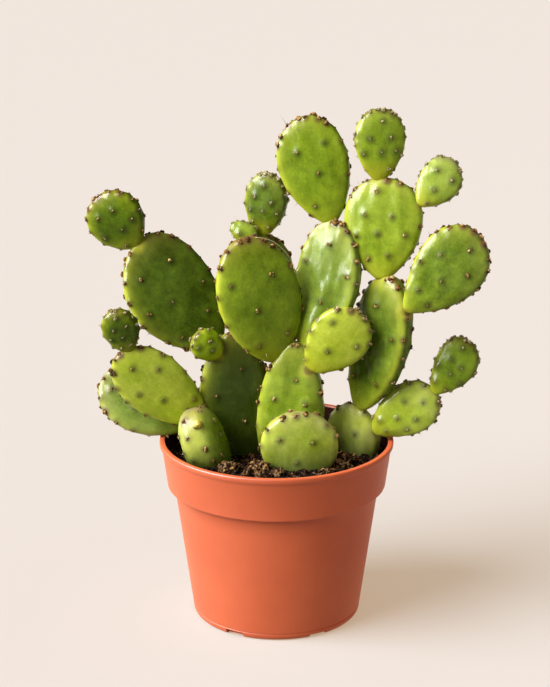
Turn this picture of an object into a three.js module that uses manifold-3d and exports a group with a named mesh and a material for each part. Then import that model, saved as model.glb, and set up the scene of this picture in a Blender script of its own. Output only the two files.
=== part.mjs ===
// A potted paddle cactus: oval stem pads that grow out of each other's rims, rooted in
// potting soil in a plastic nursery pot. Millimetres, +Z up, the photograph seen along +Y.
// The origin is the middle of the pot's underside.

import * as THREE from 'three';
import { mergeVertices } from 'three/addons/utils/BufferGeometryUtils.js';
import Module from 'manifold-3d';

const wasm = await Module();
wasm.setup();

// The pot: a 12 cm nursery pot, moulded in one piece.
const potHeight = 94;
const rimRadius = 60;
const lipHeight = 2.4;
const lipRound = 0.7;
const bandTopRadius = 58.8;
const bandBottomRadius = 56.2;
const bandHeight = 24;
const ledge = potHeight - bandHeight;
const ledgeRound = 0.6;
const bodyTopRadius = 52.7;
const footRadius = 43.4;
const footInset = 2.4;
const footRise = 3.2;
const footCurve = 0.3;
const wall = 1.5;
const floorThickness = 1.8;
const floorChamfer = 2;
const segments = 48;

// Six drainage notches cut the foot's edge, low and high in turn.
const notchCount = 6;
const notchWidth = 10;
const notchHeights = [1.8, 3];
const notchDepth = 4;

// The soil: it fills the pot to a little under the rim, higher at the front, with low lumps.
// The lumps are waves, in radians for each millimetre across and back.
const soilLevel = 85.5;
const soilSlope = 0.03;
const soilLump = 1.1;
const broadLump = [0.31, 0.37];
const narrowLump = [0.83, 0.71];
const soilEdge = 55;
const soilGap = 0.3;
const soilRings = 5;

// The pads. A ball is flattened and drawn out into each of them, with a narrower neck.
const seatSink = 2.2;
const seatGap = 0.35;
const faceFullness = 0.62;
const neckTaper = 0.3;
const largePad = 36;
const fineDetail = 3;
const coarseDetail = 2;

// The areoles: small cushions that carry the spines, in slanting rows and round the rim.
const areoleSides = 3;
const areoleRadius = 0.9;
const areoleRadiusGrowth = 0.014;
const areoleHeight = 0.8;
const areoleHeightGrowth = 0.008;
const areoleRoot = 1.5;
const areoleClear = 2.6;
const areoleFaceReach = 0.8;
const areoleRowPitch = 0.8;
const areoleFaceShift = 0.35;
const areoleRimZigzag = 0.16;
const areoleShake = 0.2;
const areoleRimShake = 0.2;
const neckHalfAngle = 36;

// Steps that keep the shakes of neighbouring areoles apart.
const padKey = 1000;
const faceKey = 7;
const rowKey = 17;
const columnKey = 131;
const rimKey = 3.7;

// A young bud on the front left pad.
const bud = { on: 'front_left', place: [-36, 8], aim: [-4, 62, 0], size: [6.5, 4.2, 4], egg: 0, bend: [0, 0, 0] };
const budDetail = 1;

// Each pad: what it grows on and where, which way it points, and its size.
// place: on a pad, degrees round its rim from the tip to the right, then degrees from the rim
// towards the front face; in the soil, x, y and how deep the base stands.
// aim: lean to the right, nod to the front, then turn about its own length. All in degrees.
// size: length, width, thickness. egg: how much wider the tip half is than the base half.
// bend: how far its middle stands out of the line from base to tip, to the front and to the right,
// and how far its two sides curl to the front.
// rows: spacing of the areoles on the face and round the rim, and the rows' shift along the face.
const pads = {
  trunk_left: {
    on: 'soil', place: [-19.3, 4, 20], aim: [-3, 0, 8],
    size: [84, 40, 14], egg: -0.08, bend: [0, 0, 0], rows: [20, 15, 0],
  },
  left_large: {
    on: 'trunk_left', place: [-30, -8], aim: [-34.5, -9, 20],
    size: [67.5, 47, 12], egg: -0.01, bend: [-2, -3, 0], rows: [19, 12, 4],
  },
  left_top: {
    on: 'left_large', place: [-10, 0], aim: [-39, -4, -14],
    size: [32.5, 31, 10], egg: 0.06, bend: [0, 0, 0], rows: [11.5, 8, 0],
  },
  left_bud: {
    on: 'trunk_left', place: [-31, 25], aim: [-44, 14, 10],
    size: [18, 16.5, 9], egg: 0.08, bend: [0, 0, 0], rows: [7.5, 6, 0],
  },
  trunk_middle: {
    on: 'soil', place: [5.8, -3, 18], aim: [3.5, 3, -10],
    size: [80, 36, 14], egg: -0.14, bend: [0, 0, 0], rows: [18, 14, 0],
  },
  middle_large: {
    on: 'trunk_middle', place: [-39, 2], aim: [-14.2, 4, 13],
    size: [67.6, 43.4, 12], egg: -0.02, bend: [2, 0, 0], rows: [20, 13, 3],
  },
  middle_back: {
    on: 'trunk_left', place: [14, -15], aim: [14.5, -12, 22],
    size: [55.5, 40, 11], egg: 0.14, bend: [0, 1.5, 0], rows: [18, 12, 0],
  },
  middle_top: {
    on: 'middle_back', place: [-5, 0], aim: [7, 6, -20],
    size: [34, 22.5, 9], egg: 0.1, bend: [0, 0, 0], rows: [10, 7, 0],
  },
  back_small: {
    on: 'middle_back', place: [-35, 0], aim: [16, -14, -10],
    size: [10.5, 14, 8], egg: 0.1, bend: [0, 0, 0], rows: [8, 6.5, 0],
  },
  centre_tall: {
    on: 'trunk_middle', place: [26, -12], aim: [11.5, -3, -30],
    size: [70.5, 35.5, 13], egg: 0.05, bend: [-4, 1.2, 3], rows: [18, 10, 0],
  },
  crown_large: {
    on: 'centre_tall', place: [-12, -4], aim: [-16, -7, -8],
    size: [55.6, 36.4, 11], egg: 0.1, bend: [0, -1, 0], rows: [18, 13, 2],
  },
  right_bright: {
    on: 'trunk_middle', place: [39, 20], aim: [41, 6, 0],
    size: [40.5, 30.5, 9], egg: 0.12, bend: [0, 0, 0], rows: [15, 11, 0],
  },
  trunk_right: {
    on: 'soil', place: [39.5, 6, 21], aim: [0, 0, -34],
    size: [46, 30, 13], egg: 0.12, bend: [0, 0, 0], rows: [16, 12, 0],
  },
  right_tall: {
    on: 'trunk_right', place: [14, -3], aim: [11.2, 13, -45],
    size: [78.5, 37, 13], egg: 0.06, bend: [-2, 1.5, 2.2], rows: [17, 11, 0],
  },
  right_upper: {
    on: 'right_tall', place: [-22, 0], aim: [0.5, -5, -14],
    size: [51.5, 40.4, 12], egg: 0.14, bend: [0, 0, 0], rows: [16, 12, 2],
  },
  crown_small: {
    on: 'right_upper', place: [-6.8, 0], aim: [1, -6, 0],
    size: [36, 25.4, 10], egg: 0.12, bend: [0, 0, 0], rows: [11.5, 8, 0],
  },
  far_right_top: {
    on: 'right_upper', place: [57, 0], aim: [40, -10, -14],
    size: [28.5, 21, 9], egg: 0.18, bend: [0, 1, 0], rows: [11, 8, 0],
  },
  right_large: {
    on: 'right_tall', place: [42, 0], aim: [40.5, 3, -12],
    size: [53.2, 35.2, 11], egg: 0.24, bend: [0, 1.5, 0], rows: [16, 11.5, 0],
  },
  right_low: {
    on: 'trunk_right', place: [60, 0], aim: [53, 10.5, -12],
    size: [40.2, 27, 10], egg: 0.16, bend: [0, 0, 0], rows: [12.5, 8.5, 0],
  },
  right_end: {
    on: 'right_low', place: [-4, 0], aim: [33, -4, -14],
    size: [33.2, 21.5, 9], egg: 0.22, bend: [0, 1.2, 0], rows: [11, 8, 0],
  },
  front_left: {
    on: 'soil', place: [-32.4, -13, 12], aim: [-20, 8, 80],
    size: [43.5, 27, 22.5], egg: 0.08, bend: [0, 0, 0], rows: [12, 9, 0],
  },
  front_middle: {
    on: 'soil', place: [11, -22.5, 12], aim: [2, 8, 0],
    size: [44, 40, 12], egg: 0.06, bend: [0, 0, 0], rows: [15, 10.5, 0],
  },
  low_left_back: {
    on: 'trunk_left', place: [-97.8, -20], aim: [-70, -6, 25],
    size: [58.5, 34.5, 11], egg: 0.19, bend: [0, -1.2, 0], rows: [15, 11.5, 0],
  },
  low_left: {
    on: 'trunk_left', place: [-92, 15], aim: [-48.5, 10, 2],
    size: [58.8, 33, 11], egg: 0.12, bend: [0, -0.5, 0], rows: [15, 11, 0],
  },
  low_left_tip: {
    on: 'low_left', place: [20, 0], aim: [-17, 8, -10],
    size: [24, 19, 9], egg: 0.08, bend: [0, 0, 0], rows: [8, 6.5, 0],
  },
};

const degrees = THREE.MathUtils.degToRad;
const names = Object.keys(pads);

// A repeatable number from 0 to 1 for a seed.
function seeded(seed) {
  const wave = Math.sin(seed * 12.9898 + 78.233) * 43758.5453;
  return wave - Math.floor(wave);
}

// A closed geometry as a solid.
function solid(geometry) {
  const bare = geometry.clone();
  bare.deleteAttribute('normal');
  bare.deleteAttribute('uv');
  const merged = mergeVertices(bare, 1e-4);
  return new wasm.Manifold(
    new wasm.Mesh({
      numProp: 3,
      vertProperties: new Float32Array(merged.attributes.position.array),
      triVerts: new Uint32Array(merged.index.array),
    }),
  );
}

// A solid as a named mesh with its material.
function piece(name, body, material) {
  const made = body.getMesh();
  const geometry = new THREE.BufferGeometry();
  geometry.setAttribute('position', new THREE.BufferAttribute(made.vertProperties, made.numProp));
  geometry.setIndex(new THREE.BufferAttribute(made.triVerts, 1));
  geometry.computeVertexNormals();
  const mesh = new THREE.Mesh(geometry, material);
  mesh.name = name;
  return mesh;
}

// How wide the pad is at a share of its length, from -1 at the base to 1 at the tip.
function padWiden(pad, along) {
  return (1 + pad.egg * along) / (1 + (pad.egg * pad.egg) / 2) - neckTaper * ((1 - along) / 2) ** 3;
}

// Where the pad's skin lies in its local frame, in the direction of a unit vector:
// x across, y out of its back, z from base to tip.
function padPoint(pad, way, inflate = 0) {
  const [length, width, thickness] = pad.size;
  const [bow, sway, curl] = pad.bend;
  const fullness = Math.sign(way.y) * Math.abs(way.y) ** faceFullness;
  const middle = 1 - way.z * way.z;
  return new THREE.Vector3(
    (width / 2 + inflate) * way.x * padWiden(pad, way.z) + sway * middle,
    (thickness / 2 + inflate) * fullness - bow * middle - curl * way.x * way.x,
    (length / 2) * (1 + way.z) + inflate * way.z,
  );
}

// The direction in which the skin faces, from two short steps along it.
function padNormal(pad, way) {
  const step = 0.02;
  const side = new THREE.Vector3(way.y, way.z, way.x).cross(way).normalize();
  const up = side.clone().cross(way).normalize();
  const here = padPoint(pad, way);
  const stepTo = (along) => padPoint(pad, way.clone().addScaledVector(along, step).normalize()).sub(here);
  const normal = stepTo(side).cross(stepTo(up)).normalize();
  const outward = here.sub(new THREE.Vector3(0, 0, pad.size[0] / 2));
  return normal.dot(outward) < 0 ? normal.negate() : normal;
}

// From the pad's local frame to the plant's: its base sits in its parent's skin or in the soil.
function padPlace(pad) {
  const [lean, nod, turn] = pad.aim.map(degrees);
  const place = new THREE.Matrix4().makeRotationY(lean);
  place.multiply(new THREE.Matrix4().makeRotationX(nod));
  place.multiply(new THREE.Matrix4().makeRotationZ(turn));
  if (pad.on === 'soil') {
    const [x, y, depth] = pad.place;
    const down = new THREE.Vector3(0, 0, -depth).applyMatrix4(place);
    return place.setPosition(down.add(new THREE.Vector3(x, y, soilLevel)));
  }
  const [round, front] = pad.place.map(degrees);
  const way = new THREE.Vector3(
    Math.sin(round) * Math.cos(front),
    -Math.sin(front),
    Math.cos(round) * Math.cos(front),
  );
  const parent = pads[pad.on];
  const seat = padPoint(parent, way).applyMatrix4(padPlace(parent));
  const sink = new THREE.Vector3(0, 0, -seatSink).applyMatrix4(place);
  return place.setPosition(seat.add(sink));
}

// A pad with no areoles, as a solid in the plant's frame.
function padBody(pad, detail, inflate = 0) {
  const ball = new THREE.IcosahedronGeometry(1, detail);
  const position = ball.attributes.position;
  const way = new THREE.Vector3();
  for (let i = 0; i < position.count; i += 1) {
    way.fromBufferAttribute(position, i).normalize();
    const point = padPoint(pad, way, inflate);
    position.setXYZ(i, point.x, point.y, point.z);
  }
  return solid(ball.applyMatrix4(padPlace(pad)));
}

const padDetail = (pad) => (pad.size[1] >= largePad ? fineDetail : coarseDetail);

// Whether a point of the plant lies in a pad or within a margin of its skin.
function inPad(pad, point, margin) {
  const [length, width, thickness] = pad.size;
  const [bow, sway, curl] = pad.bend;
  const local = point.clone().applyMatrix4(padPlace(pad).invert());
  const along = THREE.MathUtils.clamp((2 * local.z) / length - 1, -1, 1);
  const middle = 1 - along * along;
  const z = (local.z - length / 2) / (length / 2 + margin);
  const x = (local.x - sway * middle) / (width / 2 + margin) / padWiden(pad, along);
  const y = Math.abs(local.y + bow * middle + curl * x * x) / (thickness / 2 + margin);
  return x * x + y ** (2 / faceFullness) + z * z < 1;
}

// The directions of a pad's areoles: slanting rows on both faces, and a zigzag round the rim.
function areoleWays(pad, seed) {
  const [length, width] = pad.size;
  const [faceStep, rimStep, shift] = pad.rows;
  const ways = [];
  const rows = Math.ceil(length / faceStep);
  for (const face of [-1, 1]) {
    for (let row = -rows; row <= rows; row += 1) {
      for (let column = -rows; column <= rows; column += 1) {
        const key = seed + rowKey * row + columnKey * column + faceKey * face;
        const shakeX = (seeded(key) - 0.5) * 2 * areoleShake;
        const shakeZ = (seeded(key + 0.5) - 0.5) * 2 * areoleShake;
        const across = ((column + (row % 2 ? 0.5 : 0) + shakeX) * faceStep * 2) / width;
        const rise = (row + areoleFaceShift * face + shakeZ) * faceStep * areoleRowPitch + shift;
        const along = (rise * 2) / length;
        const reach = Math.hypot(across, along);
        if (reach > areoleFaceReach) continue;
        ways.push(new THREE.Vector3(across, face * Math.sqrt(1 - reach * reach), along));
      }
    }
  }
  const perimeter = (Math.PI * (length + width)) / 2;
  const count = Math.round(perimeter / rimStep);
  for (let i = 0; i < count; i += 1) {
    const shake = (seeded(seed + rimKey * i) - 0.5) * 2 * areoleRimShake;
    const round = ((i + 0.5 + shake) / count) * 360 - 180;
    if (Math.abs(round) > 180 - neckHalfAngle) continue;
    const angle = degrees(round);
    const tilt = areoleRimZigzag * (i % 2 ? 1 : -1);
    ways.push(new THREE.Vector3(Math.sin(angle), tilt, Math.cos(angle)).normalize());
  }
  return ways;
}

// One areole: a low pyramid that stands on the skin with its root sunk in.
function areoleBody(pad, way, place) {
  const radius = areoleRadius + areoleRadiusGrowth * pad.size[0];
  const height = areoleHeight + areoleHeightGrowth * pad.size[0];
  const cone = new THREE.ConeGeometry(radius, height + areoleRoot, areoleSides);
  cone.translate(0, (height - areoleRoot) / 2, 0);
  const up = new THREE.Quaternion().setFromUnitVectors(new THREE.Vector3(0, 1, 0), padNormal(pad, way));
  cone.applyQuaternion(up);
  const foot = padPoint(pad, way);
  cone.translate(foot.x, foot.y, foot.z);
  return solid(cone.applyMatrix4(place));
}

// Whether an areole would touch another pad, the bud or the soil.
function isCrowded(name, foot) {
  const nearSoil = foot.z < soilLevel + areoleClear && Math.hypot(foot.x, foot.y) < rimRadius;
  const nearPad = names.some((other) => other !== name && inPad(pads[other], foot, areoleClear));
  return nearSoil || nearPad || inPad(bud, foot, areoleClear);
}

// A whole pad: its areoles joined on, its seat cut to its parent, and the places cut
// where it is pressed against a pad made before it.
function padSolid(name) {
  const pad = pads[name];
  const place = padPlace(pad);
  const order = names.indexOf(name);
  let body = padBody(pad, padDetail(pad));
  for (const way of areoleWays(pad, 1 + order * padKey)) {
    const foot = padPoint(pad, way).applyMatrix4(place);
    if (!isCrowded(name, foot)) body = body.add(areoleBody(pad, way, place));
  }
  for (const other of names.slice(0, order)) {
    const neighbour = padBody(pads[other], padDetail(pads[other]), seatGap);
    if (body.intersect(neighbour).volume() > 0) body = body.subtract(neighbour);
  }
  return body;
}

// The bud, with its seat cut to the pad that it grows on.
function budSolid() {
  const parent = pads[bud.on];
  return padBody(bud, budDetail).subtract(padBody(parent, padDetail(parent), seatGap));
}

// A closed outline of radius and height, turned about the pot's axis.
function turned(outline) {
  const points = outline.map(([radius, height]) => new THREE.Vector2(radius, height));
  return new THREE.LatheGeometry(points, segments).rotateX(Math.PI / 2);
}

// The pot's inside wall, from its floor up: the soil follows the same points.
const insideWall = [
  [footRadius - wall - floorChamfer, floorThickness],
  [footRadius - wall, floorThickness + floorChamfer],
  [bodyTopRadius - wall, ledge + wall],
  [bandBottomRadius - wall, ledge + wall],
];

function potSolid() {
  const lipUnder = potHeight - lipHeight;
  const outside = [
    [0, 0],
    [footRadius - footInset, 0],
    [footRadius - footInset * footCurve, footRise * footCurve],
    [footRadius, footRise],
    [bodyTopRadius, ledge],
    [bandBottomRadius - ledgeRound, ledge],
    [bandBottomRadius, ledge + ledgeRound],
    [bandTopRadius, lipUnder - lipRound],
    [rimRadius, lipUnder],
    [rimRadius, potHeight - lipRound],
    [rimRadius - lipRound, potHeight],
    [bandTopRadius - wall, potHeight],
  ];
  const inside = [...insideWall].reverse();
  let body = solid(turned([...outside, ...inside, [0, floorThickness]]));
  for (let i = 0; i < notchCount; i += 1) {
    const notchHeight = notchHeights[i % notchHeights.length];
    const notch = new THREE.BoxGeometry(notchWidth, notchDepth * 2, notchHeight * 2);
    notch.translate(0, -footRadius, 0);
    notch.rotateZ(((i + 0.5) / notchCount) * Math.PI * 2);
    body = body.subtract(solid(notch));
  }
  return body;
}

// The soil: a plug that fits the pot, lumpy on top, with a plain hole for each rooted pad.
function soilSolid() {
  const outline = [[0, floorThickness + soilGap]];
  for (const [radius, height] of insideWall) outline.push([radius - soilGap, height + soilGap]);
  for (let ring = soilRings; ring >= 0; ring -= 1) {
    outline.push([(ring / soilRings) * soilEdge, soilLevel]);
  }
  const plug = turned(outline);
  const position = plug.attributes.position;
  for (let i = 0; i < position.count; i += 1) {
    const [x, y, z] = [position.getX(i), position.getY(i), position.getZ(i)];
    if (z < soilLevel - soilGap) continue;
    const broad = Math.cos(broadLump[0] * x) * Math.cos(broadLump[1] * y);
    const narrow = Math.sin(narrowLump[0] * x + narrowLump[1] * y);
    position.setZ(i, soilLevel - soilSlope * y + soilLump * (broad + narrow));
  }
  let body = solid(plug);
  for (const pad of Object.values(pads)) {
    if (pad.on === 'soil') body = body.subtract(padBody(pad, padDetail(pad), soilGap));
  }
  return body;
}

const padSkin = new THREE.MeshStandardMaterial({ color: 0x7fa22c, roughness: 0.42, metalness: 0 });
const budSkin = new THREE.MeshStandardMaterial({ color: 0xd6c24a, roughness: 0.5, metalness: 0 });
const plastic = new THREE.MeshStandardMaterial({ color: 0xc8623a, roughness: 0.55, metalness: 0 });
const earth = new THREE.MeshStandardMaterial({ color: 0x3a2a20, roughness: 0.95, metalness: 0 });

const cactus = new THREE.Group();
cactus.add(piece('pot', potSolid(), plastic));
cactus.add(piece('soil', soilSolid(), earth));
for (const name of names) cactus.add(piece(name, padSolid(name), padSkin));
cactus.add(piece('yellow_bud', budSolid(), budSkin));

export default cactus;
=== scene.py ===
# A potted paddle cactus: waxy oval pads with felted areoles, potting soil and a nursery pot.
# The dictionaries hold millimetres and degrees, and the meshes are made in metres.
import math
from functools import partial

import bmesh
import bpy
import numpy as np
from mathutils import Matrix, Vector, noise


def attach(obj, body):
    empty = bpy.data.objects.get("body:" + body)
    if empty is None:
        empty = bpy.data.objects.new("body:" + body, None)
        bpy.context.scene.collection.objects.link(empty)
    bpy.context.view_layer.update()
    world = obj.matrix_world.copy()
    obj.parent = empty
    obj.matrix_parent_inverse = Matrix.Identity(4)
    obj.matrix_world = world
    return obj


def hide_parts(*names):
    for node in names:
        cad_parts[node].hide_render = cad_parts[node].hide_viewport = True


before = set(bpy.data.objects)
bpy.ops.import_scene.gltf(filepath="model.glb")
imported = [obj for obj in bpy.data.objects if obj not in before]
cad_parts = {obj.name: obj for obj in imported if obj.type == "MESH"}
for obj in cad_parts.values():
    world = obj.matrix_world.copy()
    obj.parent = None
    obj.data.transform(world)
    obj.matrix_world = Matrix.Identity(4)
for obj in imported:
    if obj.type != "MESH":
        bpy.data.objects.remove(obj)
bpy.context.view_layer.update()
print("frame:", len(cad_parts), "nodes")

mm = 0.001
nearAxis = 0.001  # a turned outline starts this far from its axis, and its doubles are merged later
collection = bpy.context.scene.collection


def linear(hexColour):  # an sRGB hex colour as the linear values that shaders take
    channels = [int(hexColour[i:i + 2], 16) / 255 for i in (1, 3, 5)]
    bent = [c / 12.92 if c <= 0.04045 else ((c + 0.055) / 1.055) ** 2.4 for c in channels]
    return (*bent, 1.0)


# A node with its settings, inputs and links. It gives back one output, or the node if out is None.
def addNode(tree, kind, inputs=(), out=0, stops=(), **settings):
    node = tree.nodes.new(kind)
    for name, value in settings.items():
        setattr(node, name, value)
    for key, value in inputs.items() if isinstance(inputs, dict) else enumerate(inputs):
        if isinstance(value, bpy.types.NodeSocket):
            tree.links.new(value, node.inputs[key])
        else:
            node.inputs[key].default_value = value
    if stops:
        elements = node.color_ramp.elements
        while len(elements) < len(stops):
            elements.new(1)
        for element, (position, colour) in zip(elements, stops):
            element.position = position
            element.color = linear(colour) if isinstance(colour, str) else (colour, colour, colour, 1)
    return node if out is None else node.outputs[out]


def newMaterial(name, settings):  # a material with these settings all over, and what adds its nodes
    material = bpy.data.materials.new(name)
    material.use_nodes = True
    for key, value in settings.items():
        material.node_tree.nodes["Principled BSDF"].inputs[key].default_value = value
    return material, partial(addNode, material.node_tree)


def dress(material, colour, rough=None, height=None, strength=0.0, depth=0.0):  # what varies over it
    tree = material.node_tree
    normal = None
    if height is not None:
        relief = {"Strength": strength, "Distance": depth * mm, "Height": height}
        normal = addNode(tree, "ShaderNodeBump", relief)
    for key, socket in (("Base Color", colour), ("Roughness", rough), ("Normal", normal)):
        if socket is not None:
            tree.links.new(socket, tree.nodes["Principled BSDF"].inputs[key])
    return material


def hold(name, data, place=(0, 0, 0), turn=(0, 0, 0)):  # an object for a mesh, a light or the camera
    holder = bpy.data.objects.new(name, data)
    holder.location = place
    holder.rotation_euler = turn
    collection.objects.link(holder)
    return holder


def newObject(name, points, faces, materials=()):
    mesh = bpy.data.meshes.new(name)
    mesh.from_pydata(np.asarray(points).tolist(), [], np.asarray(faces).tolist())
    mesh.update()
    if len(mesh.polygons):
        mesh.polygons.foreach_set("use_smooth", [True] * len(mesh.polygons))
    for material in materials:
        mesh.materials.append(material)
    return hold(name, mesh)


def merged(shapes):  # the points and faces of several shapes as those of one
    points, faces = [], []
    for shapePoints, shapeFaces in shapes:
        faces += [tuple(corner + len(points) for corner in face) for face in shapeFaces]
        points += list(shapePoints)
    return points, faces


def meshOf(name, shell):  # the mesh that a bmesh has built
    mesh = bpy.data.meshes.new(name)
    shell.to_mesh(mesh)
    shell.free()
    return mesh


def store(thing, shares):  # numbers or vectors for each vertex, for a material or a tree to read
    for name, values in shares.items():
        values = np.asarray(values, np.float32)
        kind, field = ("FLOAT", "value") if values.ndim == 1 else ("FLOAT_VECTOR", "vector")
        thing.data.attributes.new(name, kind, "POINT").data.foreach_set(field, values.ravel())


def weld(thing, distance):  # merges doubles and turns the faces outwards
    shell = bmesh.new()
    shell.from_mesh(thing.data)
    bmesh.ops.remove_doubles(shell, verts=shell.verts, dist=distance * mm)
    bmesh.ops.recalc_face_normals(shell, faces=shell.faces)
    shell.to_mesh(thing.data)
    shell.free()


def finish(thing, node=None):
    if node:
        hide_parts(node)
    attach(thing, "root")


def baked(thing):  # the object as its modifiers leave it, as a plain mesh
    bpy.context.view_layer.update()
    evaluated = thing.evaluated_get(bpy.context.evaluated_depsgraph_get())
    mesh = bpy.data.meshes.new_from_object(evaluated)
    thing.modifiers.clear()
    old = thing.data
    thing.data = mesh
    bpy.data.meshes.remove(old)
    mesh.name = thing.name
    return thing


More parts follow.
